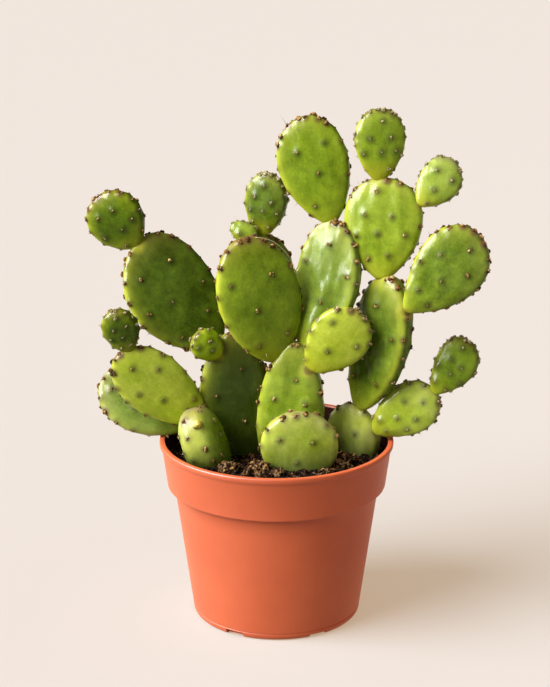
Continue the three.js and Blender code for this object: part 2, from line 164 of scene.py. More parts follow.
# The pads. place is where a pad stands: degrees round its parent's rim from the tip, then degrees
# towards the front face, or in the soil x, y and depth. aim is lean right, nod front and turn.
# size is length, width and thickness. egg is how much wider the tip half is than the base half.
# bend is how far the middle bows back and sways right, and how far the sides curl to the front.
# rows is the areoles' spacing on the face, on the rim, and shift.
# tone runs from deep to yellow green, waxAndSheen is pale wax that is partly a painted sheen,
# blush is a red tip, wave is unevenness,
# young is how fresh and pale the areoles' wool is, and yellow how yellow the pad is at its base.
# paintedFaceLight is painted light and shade: how much paler the back face is than the front face.
padForm = dict(soilLevel=85.5, seatSink=2.2, faceFullness=0.62, neckTaper=0.3)
usualPad = dict(bend=(0, 0, 0), blush=0.3, wave=0.3, young=0, yellow=0, paintedFaceLight=0)
pads = {
    "trunk_left": dict(
        on="soil", place=(-19.3, 4, 20), aim=(-3, 0, 8), size=(84, 40, 14), egg=-0.08,
        rows=(20, 8, 0), tone=0.0, waxAndSheen=0.05),
    "left_large": dict(
        on="trunk_left", place=(-30, -8), aim=(-34.5, -9, 20), size=(67.5, 47, 12), egg=-0.01,
        bend=(-2, -3, 0), rows=(19, 7, 4), tone=0.11, waxAndSheen=0.05, blush=0.6, wave=0.4),
    "left_top": dict(
        on="left_large", place=(-10, 0), aim=(-39, -4, -14), size=(32.5, 31, 10), egg=0.06,
        rows=(11.5, 5, 0), tone=0.22, waxAndSheen=0.0, blush=0.6, wave=0.2, young=0.1, yellow=0.3),
    "left_bud": dict(
        on="trunk_left", place=(-31, 25), aim=(-44, 14, 10), size=(18, 16.5, 9), egg=0.08,
        rows=(7.5, 4, 0), tone=0.53, waxAndSheen=0.0, blush=0.2, young=0.4, yellow=0.6),
    "trunk_middle": dict(
        on="soil", place=(5.8, -3, 18), aim=(3.5, 3, -10), size=(80, 36, 14), egg=-0.14,
        rows=(18, 7, 0), tone=0.56, waxAndSheen=0.2, blush=0.4, wave=1.3, yellow=0.1),
    "middle_large": dict(
        on="trunk_middle", place=(-39, 2), aim=(-14.2, 4, 13), size=(67.6, 43.4, 12), egg=-0.02,
        bend=(2, 0, 0), rows=(20, 8, 3), tone=0.43, waxAndSheen=0.05, blush=0.9, yellow=0.35),
    "middle_back": dict(
        on="trunk_left", place=(14, -15), aim=(14.5, -12, 22), size=(55.5, 40, 11), egg=0.14,
        bend=(0, 1.5, 0), rows=(18, 7, 0), tone=0.25, waxAndSheen=0.1, yellow=0.2),
    "middle_top": dict(
        on="middle_back", place=(-5, 0), aim=(7, 6, -20), size=(34, 22.5, 9), egg=0.1,
        rows=(8, 4.5, 0), tone=0.27, waxAndSheen=0.1, young=0.6, yellow=1),
    "back_small": dict(
        on="middle_back", place=(-35, 0), aim=(16, -14, -10), size=(10.5, 14, 8), egg=0.1,
        rows=(7, 4, 0), tone=0.6, waxAndSheen=0.2, wave=0.2, young=0.6, yellow=0.6),
    "centre_tall": dict(
        on="trunk_middle", place=(26, -12), aim=(11.5, -3, -30), size=(70.5, 35.5, 13), egg=0.05,
        bend=(-4, 1.2, 3), rows=(18, 6, 0), tone=0.42, waxAndSheen=0.3, wave=2.0, yellow=0.3),
    "crown_large": dict(
        on="centre_tall", place=(-12, -4), aim=(-16, -7, -8), size=(55.6, 36.4, 11), egg=0.1,
        bend=(0, -1, 0), rows=(18, 7, 2), tone=0.45, waxAndSheen=0.05, blush=0.4, wave=0.5, yellow=0.15),
    "right_bright": dict(
        on="trunk_middle", place=(39, 20), aim=(41, 6, 0), size=(40.5, 30.5, 9), egg=0.12,
        rows=(15, 6, 0), tone=0.85, waxAndSheen=0.1, blush=0.4, wave=0.2, young=0.2, yellow=0.6),
    "trunk_right": dict(
        on="soil", place=(39.5, 6, 21), aim=(0, 0, -34), size=(46, 30, 13), egg=0.12,
        rows=(16, 7, 0), tone=0.94, waxAndSheen=0.45, blush=0.4, wave=1.6),
    "right_tall": dict(
        on="trunk_right", place=(14, -3), aim=(11.2, 13, -45), size=(78.5, 37, 13), egg=0.06,
        bend=(-2, 1.5, 2.2), rows=(17, 6, 0), tone=0.27, waxAndSheen=0.1, wave=1.4, yellow=0.1),
    "right_upper": dict(
        on="right_tall", place=(-22, 0), aim=(0.5, -5, -14), size=(51.5, 40.4, 12), egg=0.14,
        rows=(13, 7, 2), tone=0.57, waxAndSheen=0.13, wave=0.9, yellow=0.4),
    "crown_small": dict(
        on="right_upper", place=(-6.8, 0), aim=(1, -6, 0), size=(36, 25.4, 10), egg=0.12,
        rows=(9.5, 5, 0), tone=0.46, waxAndSheen=0.1, wave=0.4, young=0.45, yellow=1),
    "far_right_top": dict(
        on="right_upper", place=(57, 0), aim=(40, -10, -14), size=(28.5, 21, 9), egg=0.18,
        bend=(0, 1, 0), rows=(9.5, 5, 0), tone=0.6, waxAndSheen=0.35, wave=0.5, young=0.4, yellow=0.8),
    "right_large": dict(
        on="right_tall", place=(42, 0), aim=(40.5, 3, -12), size=(53.2, 35.2, 11), egg=0.24,
        bend=(0, 1.5, 0), rows=(13, 6, 0), tone=0.36, waxAndSheen=0.15, wave=0.6, yellow=0.1),
    "right_low": dict(
        on="trunk_right", place=(60, 0), aim=(53, 10.5, -12), size=(40.2, 27, 10), egg=0.16,
        rows=(10.5, 5.5, 0), tone=0.76, waxAndSheen=0.3, blush=0.2, wave=1.1, young=0.3, yellow=0.6),
    "right_end": dict(
        on="right_low", place=(-4, 0), aim=(33, -4, -14), size=(33.2, 21.5, 9), egg=0.22,
        bend=(0, 1.2, 0), rows=(9, 5, 0), tone=0.42, waxAndSheen=0.1, young=0.4, yellow=0.4),
    "front_left": dict(
        on="soil", place=(-32.4, -13, 12), aim=(-20, 8, 80), size=(43.5, 27, 22.5), egg=0.08,
        rows=(12, 7, 0), tone=0.7, waxAndSheen=0.4, blush=0.9, wave=0.6, paintedFaceLight=0.4),
    "front_middle": dict(
        on="soil", place=(11, -22.5, 12), aim=(2, 8, 0), size=(44, 40, 12), egg=0.06,
        rows=(15, 8, 0), tone=0.8, waxAndSheen=0.42, blush=0.7, wave=0.4),
    "low_left_back": dict(
        on="trunk_left", place=(-97.8, -20), aim=(-70, -6, 25), size=(58.5, 34.5, 11), egg=0.19,
        bend=(0, -1.2, 0), rows=(15, 8, 0), tone=0.36, waxAndSheen=0.35, blush=0.7, yellow=0.3),
    "low_left": dict(
        on="trunk_left", place=(-92, 15), aim=(-48.5, 10, 2), size=(58.8, 33, 11), egg=0.12,
        bend=(0, -0.5, 0), rows=(15, 7, 0), tone=0.8, waxAndSheen=0.15, wave=0.5, yellow=0.3),
    "low_left_tip": dict(
        on="low_left", place=(20, 0), aim=(-17, 8, -10), size=(24, 19, 9), egg=0.08,
        rows=(6.5, 4, 0), tone=0.17, waxAndSheen=0.0, young=0.6, yellow=0.5),
}
pads = {name: {**usualPad, **pad} for name, pad in pads.items()}
padNames = list(pads)
rooted = [name for name in padNames if pads[name]["on"] == "soil"]


def seeded(seed):
    wave = math.sin(seed * 12.9898 + 78.233) * 43758.5453
    return wave - math.floor(wave)


def padWiden(pad, along):
    full = (1 + pad["egg"] * along) / (1 + pad["egg"] ** 2 / 2)
    return full - padForm["neckTaper"] * ((1 - along) / 2) ** 3


def padPoints(pad, ways):  # where the skin lies in the pad's own frame, in the directions of unit vectors
    length, width, thickness = pad["size"]
    bow, sway, curl = pad["bend"]
    fullness = np.sign(ways[:, 1]) * np.abs(ways[:, 1]) ** padForm["faceFullness"]
    middle = 1 - ways[:, 2] ** 2
    return np.stack([
        width / 2 * ways[:, 0] * padWiden(pad, ways[:, 2]) + sway * middle,
        thickness / 2 * fullness - bow * middle - curl * ways[:, 0] ** 2,
        length / 2 * (1 + ways[:, 2]),
    ], axis=1)


def rimWay(degrees, front):  # the direction of a place round the rim and towards the front face
    around, forward = math.radians(degrees), math.radians(front)
    across, along = math.sin(around) * math.cos(forward), math.cos(around) * math.cos(forward)
    return np.array([[across, -math.sin(forward), along]])


def padPlace(pad):  # from the pad's own frame to the plant's, in millimetres
    lean, nod, turn = [math.radians(a) for a in pad["aim"]]
    turning = Matrix.Rotation(lean, 4, "Y") @ Matrix.Rotation(nod, 4, "X") @ Matrix.Rotation(turn, 4, "Z")
    if pad["on"] == "soil":
        x, y, sink = pad["place"]
        seat = Vector((x, y, padForm["soilLevel"]))
    else:
        parent = pads[pad["on"]]
        seat = padPlace(parent) @ Vector(padPoints(parent, rimWay(*pad["place"]))[0])
        sink = padForm["seatSink"]
    return Matrix.Translation(seat + turning @ Vector((0, 0, -sink))) @ turning


def moved(matrix, points):
    grid = np.array(matrix)
    return points @ grid[:3, :3].T + grid[:3, 3]


def insidePad(pad, points, margin):  # which points of the plant lie in a pad or near its skin
    length, width, thickness = pad["size"]
    bow, sway, curl = pad["bend"]
    local = moved(padPlace(pad).inverted(), points)
    along = np.clip(2 * local[:, 2] / length - 1, -1, 1)
    middle = 1 - along ** 2
    x = (local[:, 0] - sway * middle) / (width / 2 + margin) / padWiden(pad, along)
    y = np.abs(local[:, 1] + bow * middle + curl * x ** 2) / (thickness / 2 + margin)
    z = (local[:, 2] - length / 2) / (length / 2 + margin)
    return x ** 2 + y ** (2 / padForm["faceFullness"]) + z ** 2 < 1


# The areoles stand in slanting rows on the faces and crowd together on the rim towards the tip.
# Keys keep the draws of neighbours apart. Areoles are larger on a large pad, on a rim and at its tip.
areoleForm = dict(
    faceReach=0.8, rowPitch=0.8, faceShift=0.35, shake=0.2, rimShake=1.12, rimZigzag=0.2, leastZigzag=0.4,
    rimCrowding=0.5, rimStart=0.3, neckAngle=34, clear=1.2, soilClear=2.5, soilReach=60, moundHeight=0.64,
    rimMound=0.6, moundRadius=2.2, lift=0.85, padKey=1000, rowKey=17, columnKey=131, faceKey=7, tiltKey=5.3,
    stepKey=3.7, sideKey=11, leastSize=0.6, sizeSpread=0.75, sizeFoot=0.66, sizeGrowth=0.007, rimSize=0.15,
    tipSize=0.45, rimGain=1.3, rimLoss=0.2)


def areoleWays(pad, seed):
    form = areoleForm
    length, width = pad["size"][:2]
    faceStep, rimStep, shift = pad["rows"]
    ways = []
    rows = math.ceil(length / faceStep)
    for face in (-1, 1):
        for row in range(-rows, rows + 1):
            for column in range(-rows, rows + 1):
                key = seed + form["rowKey"] * row + form["columnKey"] * column + form["faceKey"] * face
                shakeX, shakeZ = [(seeded(k) - 0.5) * 2 * form["shake"] for k in (key, key + 0.5)]
                across = (column + (0.5 if row % 2 else 0) + shakeX) * faceStep * 2 / width
                rise = (row + form["faceShift"] * face + shakeZ) * faceStep * form["rowPitch"] + shift
                along = rise * 2 / length
                reach = math.hypot(across, along)
                if reach <= form["faceReach"]:
                    ways.append((across, face * math.sqrt(1 - reach ** 2), along))
    turnPerStep = rimStep / (math.pi * (length + width) / 2) * 360
    for side in (-1, 1):
        angle, step = form["rimStart"] * turnPerStep, 0
        while angle < 180 - form["neckAngle"]:
            zigzag = form["rimZigzag"] * (1 if step % 2 else -1)
            tilt = zigzag * (form["leastZigzag"] + seeded(seed + form["tiltKey"] * step + side))
            turn = math.radians(angle) * side
            ways.append(tuple(Vector((math.sin(turn), tilt, math.cos(turn))).normalized()))
            crowding = 1 - form["rimCrowding"] * (1 - angle / 180)
            drawn = seeded(seed + form["stepKey"] * step + form["sideKey"] * side) - 0.5
            angle += turnPerStep * crowding * (1 + drawn * form["rimShake"])
            step += 1
    return np.array(ways)


def ball(level):  # the unit directions and faces of a ball of small triangles
    made = bmesh.new()
    bmesh.ops.create_icosphere(made, subdivisions=level, radius=1)
    ways = np.array([v.co[:] for v in made.verts])
    faces = np.array([[v.index for v in f.verts] for f in made.faces])
    made.free()
    return ways / np.linalg.norm(ways, axis=1)[:, None], faces


def skinNormals(points, faces):
    mesh = bpy.data.meshes.new("normals")
    mesh.from_pydata(points.tolist(), [], faces.tolist())
    normals = np.zeros(len(points) * 3, np.float32)
    mesh.vertex_normals.foreach_get("vector", normals)
    bpy.data.meshes.remove(mesh)
    return normals.reshape(-1, 3).astype(float)


# Living cactus skin: a thin wax over moist green flesh. It gives broad soft sheens, a yellow-green
# rim where the pad is thin, painted paler as painted light on the side that faces the key light, and a
# faint grain that breaks the sheens up.
def makePadSkin():
    material, add = newMaterial("waxedCactusSkin", {
        "IOR": 1.45, "Specular IOR Level": 0.13, "Subsurface Weight": 0.12,
        "Subsurface Radius": (0.6, 1.0, 0.2), "Subsurface Scale": 2.5 * mm})
    where = add("ShaderNodeTexCoord", out="Object")
    lengthwise = add("ShaderNodeAttribute", out="Vector", attribute_name="lengthwise")
    share = {name: add("ShaderNodeAttribute", out="Fac", attribute_name=name) for name in (
        "tone", "waxAndSheen", "blush", "face", "along", "areole", "yellow", "joint", "dampAndShade", "scar", "paintedLitSide")}
    # Mottles of about 13 mm, patches of 4 mm, streaks along the pad, speckles of 1 mm, and a finer grain.
    mottle, patch, streak, speckle, grain = [
        add("ShaderNodeTexNoise", {"Vector": vector, "Scale": scale, "Detail": detail})
        for vector, scale, detail in ((where, 75.0, 3.0), (where, 240.0, 4.0), (lengthwise, 0.35, 3.0),
                                      (where, 900.0, 2.0), (where, 1500.0, 2.0))]
    # Pale wax broken by mottles: it makes the skin rougher, and its pale colour is partly a painted whitish
    # sheen.
    waxy = add("ShaderNodeValToRGB", [mottle], stops=[(0.3, 0.2), (0.7, 0.9)])
    waxSheenVeil = add("ShaderNodeMath", [share["waxAndSheen"], waxy], operation="MULTIPLY")
    thinWaxSheenVeil = add("ShaderNodeMath", [waxSheenVeil, 0.6], operation="MULTIPLY")
    shade = add("ShaderNodeMath", [share["tone"], 0.61], operation="SUBTRACT")
    sums = {
        "shade": (shade, (mottle, 0.48), (streak, 0.1), (speckle, 0.3), (patch, 0.34)),
        "footward": (share["along"], (patch, 0.06)),
        "rough": (0.1, (streak, 0.3), (waxSheenVeil, 0.12)),
        "relief": (0.0, (grain, 0.05), (patch, 0.35), (streak, 0.35)),
    }
    for name, (total, *terms) in sums.items():
        for pattern, weight in terms:
            total = add("ShaderNodeMath", [pattern, weight, total], operation="MULTIPLY_ADD")
        sums[name] = total

    green = add("ShaderNodeValToRGB", [sums["shade"]], stops=[
        (0.0, "#344406"), (0.25, "#536a08"), (0.5, "#7b9412"), (0.75, "#a0b422"), (1.0, "#c4d040")])
    thinRimLight = add("ShaderNodeValToRGB", [share["face"]], stops=[
        (0.0, 0.85), (0.3, 0.6), (0.6, 0.18), (0.85, 0.0)])
    # Each layer is a share, a pattern that breaks it up with its gain and least, a ramp, and a colour.
    layers = [
        # Painted light: the pale rim colour is laid only where the skin faces the key light, as a painted lit
        # rim.
        (thinRimLight, share["paintedLitSide"], 1.0, 0.0, (), "#cfd63e"),
        (share["areole"], None, 0, 0, [(0.2, 0.0), (0.9, 0.62)], "#2f330b"),
        (share["scar"], patch, 1.0, 0.55, [(0.12, 0.0), (0.5, 0.85)], "#6b4c26"),
        (share["blush"], mottle, 1.6, 0.0, (), "#6f3f2b"),
        (share["yellow"], mottle, 1.0, 0.4, (), "#bdbb22"),
        (sums["footward"], None, 0, 0, [(0.05, 0.7), (0.08, 0.0)], "#8a6a2c"),
        (share["joint"], patch, 1.0, 0.5, [(0.1, 0.0), (0.5, 0.7)], "#a8a82e"),
        (share["joint"], patch, 1.0, 0.5, [(0.5, 0.0), (0.8, 0.8)], "#6b4a1c"),
        # Darker near the soil: partly damp, partly painted shade.
        (share["dampAndShade"], None, 0, 0, (), "#33420f"),
        # The whitish veil colour: pale wax and, in part, a painted sheen.
        (thinWaxSheenVeil, None, 0, 0, (), "#c2c8a0"),
    ]
    for factor, pattern, gain, least, stops, colour in layers:
        if pattern is not None:
            broken = add("ShaderNodeMath", [pattern, gain, least], operation="MULTIPLY_ADD")
            factor = add("ShaderNodeMath", [factor, broken], operation="MULTIPLY")
        if stops:
            factor = add("ShaderNodeValToRGB", [factor], stops=stops)
        over = {0: factor, 6: green, 7: linear(colour)}
        green = add("ShaderNodeMix", over, out=2, data_type="RGBA")
    return dress(material, green, sums["rough"], sums["relief"], strength=0.6, depth=0.8)


balls = {"large": ball(6), "small": ball(5)}
areoles = dict(foot=[], facing=[], size=[], tone=[], young=[], rim=[])
skinForm = dict(
    largeWidth=30, broadScale=12, fineScale=5, fineShare=0.5, foldStretch=0.45, waveGain=1.2, apart=31.7,
    haloRadius=2.6, waxAndSheenFoot=0.8, paintedSheenRise=0.55, paintedLitShare=0.45, paintedLitGain=0.9, streakStretch=0.3,
    streakShift=40, yellowReach=0.7, jointRadius=4.0, jointShare=0.13, dampShadeShare=0.75, dampShadeReach=16.0,
    stainRadius=2.6, leastStain=0.35)
padSkin = makePadSkin()


def makePad(name):
    pad, order, form = pads[name], padNames.index(name), skinForm
    place = padPlace(pad)
    turning = np.array(place.to_3x3()).T
    ways, faces = balls["large" if pad["size"][1] >= form["largeWidth"] else "small"]
    points = padPoints(pad, ways)
    normals = skinNormals(points, faces)
    face = np.abs(ways[:, 1])

    spots = areoleWays(pad, 1 + areoleForm["padKey"] * order)
    feet = padPoints(pad, spots)
    inPlant = moved(place, feet)
    clear = inPlant[:, 2] >= padForm["soilLevel"] + areoleForm["soilClear"]
    clear |= np.hypot(inPlant[:, 0], inPlant[:, 1]) >= areoleForm["soilReach"]
    for other in padNames:
        if other != name:
            clear &= ~insidePad(pads[other], inPlant, areoleForm["clear"])
    spots, feet = spots[clear], feet[clear]

    # Each areole stands on a low mound of the skin, and the skin is a little uneven everywhere.
    distance = np.linalg.norm(points[:, None, :] - feet[None, :, :], axis=2)
    nearest = distance.min(axis=1)
    mound = np.exp(-(nearest / areoleForm["moundRadius"]) ** 2) * areoleForm["moundHeight"]
    mound *= areoleForm["rimMound"] + (1 - areoleForm["rimMound"]) * face
    offset = Vector((form["apart"] * order, 0, 0))
    uneven = np.array([
        noise.noise(Vector(p) / form["broadScale"] + offset)
        + form["fineShare"] * noise.noise(Vector(p) / form["fineScale"] + offset)
        for p in points * (1, 1, form["foldStretch"])
    ])
    uneven = uneven * form["waveGain"] * pad["wave"] * face ** 0.5
    points = points + normals * (mound + uneven)[:, None]
    inPlant = moved(place, points)

    nearJoint = np.zeros(len(points))
    for child in [pads[other] for other in padNames if pads[other]["on"] == name]:
        gap = np.linalg.norm(inPlant - np.array(padPlace(child).translation), axis=1)
        radius = min(form["jointRadius"], form["jointShare"] * child["size"][1])
        nearJoint = np.maximum(nearJoint, np.exp(-(gap / radius) ** 2))
    # Old areoles near a rim's tip stand in brown scarred skin.
    rimward = 1 - np.abs(spots[:, 1])
    tipward = np.clip(spots[:, 2], 0, 1)
    old = rimward * (form["leastStain"] + (1 - form["leastStain"]) * tipward) * (1 - pad["young"])
    old *= [seeded(3.1 * i + order) for i in range(len(spots))]
    height = inPlant[:, 2] - padForm["soilLevel"]
    # Painted light and shade: one face of the pad is paler and the other deeper, as the key light falls on
    # them.
    paintedFaceLight = pad["paintedFaceLight"] * ways[:, 1]

    thing = newObject(name + "_skin", inPlant * mm, faces, [padSkin])
    store(thing, dict(
        lengthwise=points * (1, 1, form["streakStretch"]) + (0, 0, form["streakShift"] * order),
        yellow=pad["yellow"] * np.clip(1 - (1 + ways[:, 2]) / form["yellowReach"], 0, 1),
        tone=pad["tone"] + paintedFaceLight,
        # paintedSheenRise lays more of the pale colour towards the tip, as a painted sheen on the pad's upper
        # part.
        waxAndSheen=(pad["waxAndSheen"] + paintedFaceLight) * (form["waxAndSheenFoot"] + form["paintedSheenRise"] * ways[:, 2]),
        blush=pad["blush"] * np.clip((ways[:, 2] - 0.5) * 2, 0, 1) * (1 - face),
        face=face,
        # paintedLitSide is painted light: high where the skin faces left, towards the key light.
        paintedLitSide=np.clip(form["paintedLitShare"] - form["paintedLitGain"] * (normals @ turning)[:, 0], 0, 1),
        along=(1 + ways[:, 2]) / 2,
        areole=np.exp(-(nearest / form["haloRadius"]) ** 2),
        # dampAndShade darkens the skin within a reach above the soil, partly as damp and partly as painted
        # shade.
        dampAndShade=form["dampShadeShare"] * np.clip(1 - height / form["dampShadeReach"], 0, 1),
        joint=nearJoint,
        scar=(old * np.exp(-(distance / form["stainRadius"]) ** 2)).max(axis=1)))

    near = distance.argmin(axis=0)
    rise = (mound * areoleForm["lift"] + uneven)[near][:, None]
    drawn = np.array([seeded(i + 0.7 * order) for i in range(len(feet))])
    size = areoleForm["sizeFoot"] + areoleForm["sizeGrowth"] * pad["size"][0]
    size = size * (areoleForm["leastSize"] + areoleForm["sizeSpread"] * drawn)
    size *= (1 + areoleForm["rimSize"] * rimward) * (1 + areoleForm["tipSize"] * rimward * tipward)
    grown = dict(
        foot=moved(place, feet + normals[near] * rise) * mm, facing=normals[near] @ turning, size=size,
        tone=[pad["tone"]] * len(feet), young=[pad["young"]] * len(feet),
        rim=np.clip(rimward * areoleForm["rimGain"] - areoleForm["rimLoss"], 0, 1))
    for key, values in grown.items():
        areoles[key] += list(values)
    return thing


for padName in padNames:
    finish(makePad(padName), padName)
print("pads:", len(padNames), "with", len(areoles["foot"]), "areoles")


# The felt of the areoles: wool of short hairs, so it is quite matt, pale on top and brown at the foot.
def makeFelt():
    material, add = newMaterial("areoleFelt", {"Roughness": 0.85, "Specular IOR Level": 0.05})
    share = {name: add("ShaderNodeAttribute", out="Fac", attribute_name=name)
             for name in ("rise", "hue", "young", "rim", "tone")}
    worn = add("ShaderNodeMath", [share["rise"], 0.35], operation="MULTIPLY")
    worn = add("ShaderNodeMath", [share["hue"], 0.65, worn], operation="MULTIPLY_ADD")
    onFace, onRim, fresh = [add("ShaderNodeValToRGB", [worn], stops=stops) for stops in (
        [(0.0, "#36260d"), (0.35, "#6b4f1e"), (0.65, "#a3843f"), (0.85, "#cbb071"), (1.0, "#e6d5a0")],
        [(0.0, "#1e1006"), (0.35, "#4b2c12"), (0.6, "#84602f"), (0.82, "#c09c62"), (1.0, "#e2cc98")],
        [(0.0, "#5d5e2c"), (0.4, "#9b9a68"), (1.0, "#e4e1c6")])]
    greened = add("ShaderNodeValToRGB", [share["tone"]], stops=[(0.3, 0.0), (0.8, 0.6)])
    felted = onFace
    for factor, colour in ((greened, linear("#8c8a3c")), (share["rim"], onRim), (share["young"], fresh)):
        felted = add("ShaderNodeMix", {0: factor, 6: felted, 7: colour}, out=2, data_type="RGBA")
    return dress(material, felted)


# Glochids and spines: stiff horny bristles, straw to red-brown, a little glossy.
def makeHorn():
    material, add = newMaterial("hornyBristle", {"Roughness": 0.45})
    young = add("ShaderNodeAttribute", out="Fac", attribute_name="young")
    return dress(material, add("ShaderNodeValToRGB", [young], stops=[(0, "#6b4422"), (1, "#cfc090")]))


def newTree(name, sizes):  # a tree of Geometry Nodes with an input for each size, and what adds its nodes
    tree = bpy.data.node_groups.new(name, "GeometryNodeTree")
    for way in ("INPUT", "OUTPUT"):
        tree.interface.new_socket("Geometry", in_out=way, socket_type="NodeSocketGeometry")
    for label, value in sizes.items():
        kind = "NodeSocketInt" if isinstance(value, int) else "NodeSocketFloat"
        tree.interface.new_socket(label, in_out="INPUT", socket_type=kind).default_value = value
    return tree, partial(addNode, tree), addNode(tree, "NodeGroupInput", out=None).outputs


def lumpyBall(add, noiseScale, gain, least):  # a ball of twenty faces, swollen by a noise
    position = add("GeometryNodeInputPosition")
    lump = add("ShaderNodeTexNoise", {"Vector": position, "Scale": noiseScale, "Detail": 1.0})
    swell = add("ShaderNodeMath", [lump, gain, least], operation="MULTIPLY_ADD")
    swollen = add("ShaderNodeVectorMath", {0: position, "Scale": swell}, operation="SCALE")
    plain = add("GeometryNodeMeshIcoSphere", {"Radius": 1.0, "Subdivisions": 1})
    return add("GeometryNodeSetPosition", {"Geometry": plain, "Position": swollen})


def realised(add, instances, material, hue=None):  # real meshes of one material, each with its hue
    if hue is not None:
        stored = {"Geometry": instances, "Name": "hue", "Value": hue}
        instances = add("GeometryNodeStoreNamedAttribute", stored, domain="INSTANCE")
    real = add("GeometryNodeRealizeInstances", [instances])
    return add("GeometryNodeSetMaterial", {"Geometry": real, "Material": material})


def grow(thing, tree, sizes):  # runs the tree on the object and leaves a plain mesh
    modifier = thing.modifiers.new(tree.name, "NODES")
    modifier.node_group = tree
    for item in tree.interface.items_tree:
        if item.in_out == "INPUT" and item.name in sizes:
            modifier[item.identifier] = sizes[item.name]
    return baked(thing)


# Geometry Nodes: on each areole a felt cushion, a tuft of glochids and now and then a spine.
tuft = dict(cushionRadius=0.62 * mm, cushionHeight=0.62 * mm, lumpCount=4, lumpSpread=0.95, leastLump=0.35,
            largestLump=1.05, footSpread=0.5, tipShare=0.3, leastStretch=0.6, mostStretch=1.3,
            bristleCount=8, bristleLength=0.9 * mm, bristleRadius=0.055 * mm, bristleSpread=0.75,
            spineCount=2, spineLength=2.6 * mm, spineRadius=0.08 * mm, spineSpread=0.35, spineShare=0.06,
            seed=7)


def makeTuftTree(felt, horn):
    tree, add, given = newTree("areoleTufts", tuft)
    facing, size, rim = [
        add("GeometryNodeInputNamedAttribute", {"Name": name}, data_type=kind)
        for name, kind in (("facing", "FLOAT_VECTOR"), ("size", "FLOAT"), ("rim", "FLOAT"))]
    seeds = {step: add("ShaderNodeMath", [given["seed"], step], operation="ADD")
             for step in (3, 5, 11, 12, 40, 41, 42)}

    # The cushions: low lumpy domes, more of them on a rim.
    dome = lumpyBall(add, noiseScale=2.5, gain=0.6, least=0.7)
    position = add("GeometryNodeInputPosition")
    height = add("ShaderNodeSeparateXYZ", [position], out=2)
    rise = {"Geometry": dome, "Name": "rise", "Value": height}
    dome = add("GeometryNodeStoreNamedAttribute", rise)
    upright = add("FunctionNodeAlignEulerToVector", {"Vector": facing}, axis="Z")
    across, tall = [add("ShaderNodeMath", [given[name], size], operation="MULTIPLY")
                    for name in ("cushionRadius", "cushionHeight")]
    scale = add("ShaderNodeCombineXYZ", [across, across, tall])
    count = add("ShaderNodeMath", [1.0, rim], operation="ADD")
    count = add("ShaderNodeMath", [given["lumpCount"], count], operation="MULTIPLY")
    several = {"Geometry": given["Geometry"], "Amount": count}
    lumps = add("GeometryNodeDuplicateElements", several, domain="POINT")
    anyWay = {"Min": (-1, -1, -1), "Max": (1, 1, 1)}
    anySide = {**anyWay, "Seed": given["seed"]}
    aside = add("FunctionNodeRandomValue", anySide, data_type="FLOAT_VECTOR")
    aside = add("ShaderNodeVectorMath", [facing, aside], operation="CROSS_PRODUCT")
    reach = add("ShaderNodeMath", [across, given["lumpSpread"]], operation="MULTIPLY")
    aside = add("ShaderNodeVectorMath", {0: aside, "Scale": reach}, operation="SCALE")
    lumps = add("GeometryNodeSetPosition", {"Geometry": lumps, "Offset": aside})
    lumpSizes = {2: given["leastLump"], 3: given["largestLump"], "Seed": seeds[3]}
    lumpSize = add("FunctionNodeRandomValue", lumpSizes, out=1)
    scale = add("ShaderNodeVectorMath", {0: scale, "Scale": lumpSize}, operation="SCALE")
    cushions = add("GeometryNodeInstanceOnPoints", {
        "Points": lumps, "Instance": dome, "Rotation": upright, "Scale": scale})
    hue = add("FunctionNodeRandomValue", {"Seed": seeds[5]}, out=1)
    cushions = realised(add, cushions, felt, hue)

    # The spikes: each areole is repeated, and every copy leans its own way.
    def spikes(kind, step, share=None):
        count, length, radius, spread = [
            given[kind + part] for part in ("Count", "Length", "Radius", "Spread")]
        copies = {"Geometry": given["Geometry"], "Amount": count}
        doubled = add("GeometryNodeDuplicateElements", copies, domain="POINT")
        if share is not None:
            drawn = add("FunctionNodeRandomValue", {"Seed": seeds[step]}, out=1)
            keep = add("ShaderNodeMath", [drawn, share], operation="LESS_THAN")
            doubled = add("GeometryNodeSeparateGeometry", [doubled, keep], domain="POINT")
        leaning = {**anyWay, "Seed": seeds[step + 1]}
        lean = add("FunctionNodeRandomValue", leaning, data_type="FLOAT_VECTOR")
        spill = add("ShaderNodeVectorMath", {0: lean, "Scale": spread}, operation="SCALE")
        aim = add("ShaderNodeVectorMath", [facing, spill], operation="ADD")
        aim = add("ShaderNodeVectorMath", [aim], operation="NORMALIZE")
        near = add("ShaderNodeMath", [across, given["footSpread"]], operation="MULTIPLY")
        shift = add("ShaderNodeVectorMath", {0: lean, "Scale": near}, operation="SCALE")
        placed = add("GeometryNodeSetPosition", {"Geometry": doubled, "Offset": shift})
        tip = add("ShaderNodeMath", [radius, given["tipShare"]], operation="MULTIPLY")
        cone = add("GeometryNodeMeshCone", {
            "Vertices": 4, "Radius Top": tip, "Radius Bottom": radius, "Depth": length}, fill_type="NONE")
        stretches = {2: given["leastStretch"], 3: given["mostStretch"], "Seed": seeds[step + 2]}
        stretch = add("FunctionNodeRandomValue", stretches, out=1)
        stuck = add("GeometryNodeInstanceOnPoints", {
            "Points": placed, "Instance": cone,
            "Rotation": add("FunctionNodeAlignEulerToVector", {"Vector": aim}, axis="Z"),
            "Scale": add("ShaderNodeCombineXYZ", [1.0, 1.0, stretch])})
        return realised(add, stuck, horn)

    glochids = spikes("bristle", 10)
    spines = spikes("spine", 40, given["spineShare"])
    joined = add("GeometryNodeJoinGeometry", out=None)
    for part in (cushions, glochids, spines):
        tree.links.new(part, joined.inputs[0])
    add("NodeGroupOutput", [joined.outputs[0]], out=None)
    return tree


